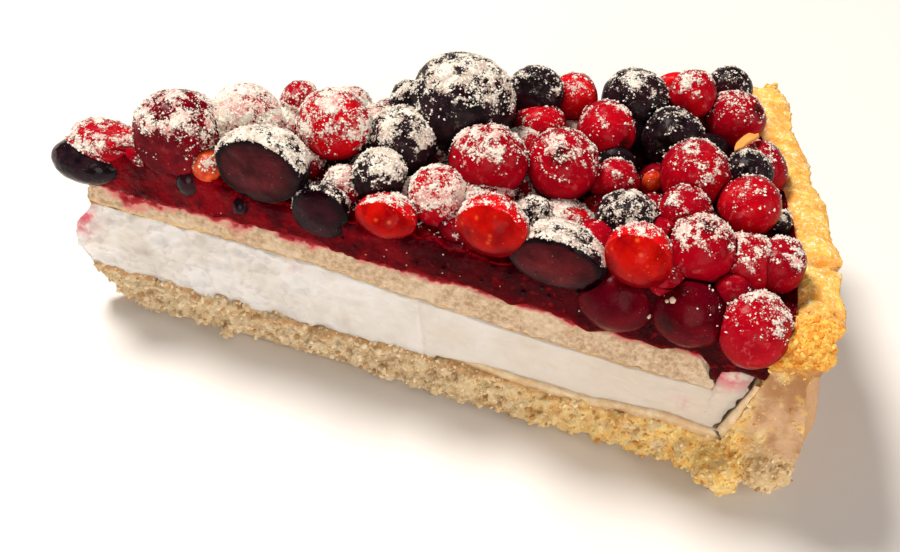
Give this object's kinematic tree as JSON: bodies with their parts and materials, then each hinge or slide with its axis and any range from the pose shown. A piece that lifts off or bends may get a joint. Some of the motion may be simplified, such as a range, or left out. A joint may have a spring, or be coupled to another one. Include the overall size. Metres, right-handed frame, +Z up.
{
  "type": "fruit tart slice",
  "caption": "Wedge of a shortcrust tart: crust with upright rim, white cream, thin sponge and red jelly heaped with red and dark berries dusted with sugar.",
  "frame": {"origin": "on the flat underside of the crust, under the middle of the slice's outer box", "axes": "+X from the tip towards the rim along the middle of the slice, +Z up, +Y across the slice, away from the cut face the picture shows"},
  "size_m": [0.123, 0.0658, 0.0498],
  "materials": {
    "crust": "baked shortcrust, sandy where cut, browned and sugar-flecked at the rim",
    "lining": "pale coat, dull",
    "cream": "set white cream, soft sheen",
    "sponge": "fine open crumb, dull",
    "jelly": "dark wine red, glossy",
    "red_berry": "thin glossy skin dusted with icing sugar",
    "dark_berry": "waxy skin dusted with icing sugar",
    "orange_berry": "thin glossy skin"
  },
  "bodies": {
    "root": {"crust": "crust", "lining": "lining", "cream": "cream", "sponge": "sponge", "jelly": "jelly", "dark_berry_01": "dark_berry", "red_berry_01": "red_berry", "red_berry_02": "red_berry", "orange_berry_01": "orange_berry", "dark_berry_02": "dark_berry", "dark_berry_03": "dark_berry", "dark_berry_04": "dark_berry", "red_berry_03": "red_berry", "red_berry_04": "red_berry", "dark_berry_05": "dark_berry", "red_berry_05": "red_berry", "red_berry_06": "red_berry", "red_berry_07": "red_berry", "red_berry_08": "red_berry", "red_berry_09": "red_berry", "red_berry_10": "red_berry", "red_berry_11": "red_berry", "dark_berry_06": "dark_berry", "red_berry_12": "red_berry", "red_berry_13": "red_berry", "dark_berry_07": "dark_berry", "red_berry_14": "red_berry", "red_berry_15": "red_berry", "red_berry_16": "red_berry", "red_berry_17": "red_berry", "dark_berry_08": "dark_berry", "red_berry_18": "red_berry", "dark_berry_09": "dark_berry", "red_berry_19": "red_berry", "red_berry_20": "red_berry", "orange_berry_02": "orange_berry", "red_berry_21": "red_berry", "red_berry_22": "red_berry", "red_berry_23": "red_berry", "red_berry_24": "red_berry", "dark_berry_10": "dark_berry", "dark_berry_11": "dark_berry", "dark_berry_12": "dark_berry", "dark_berry_13": "dark_berry", "red_berry_25": "red_berry", "red_berry_26": "red_berry", "red_berry_27": "red_berry", "dark_berry_14": "dark_berry", "dark_berry_15": "dark_berry", "red_berry_28": "red_berry", "red_berry_29": "red_berry", "dark_berry_16": "dark_berry", "red_berry_30": "red_berry", "red_berry_31": "red_berry", "dark_berry_17": "dark_berry", "red_berry_32": "red_berry", "dark_berry_18": "dark_berry"}
  },
  "joints": []
}
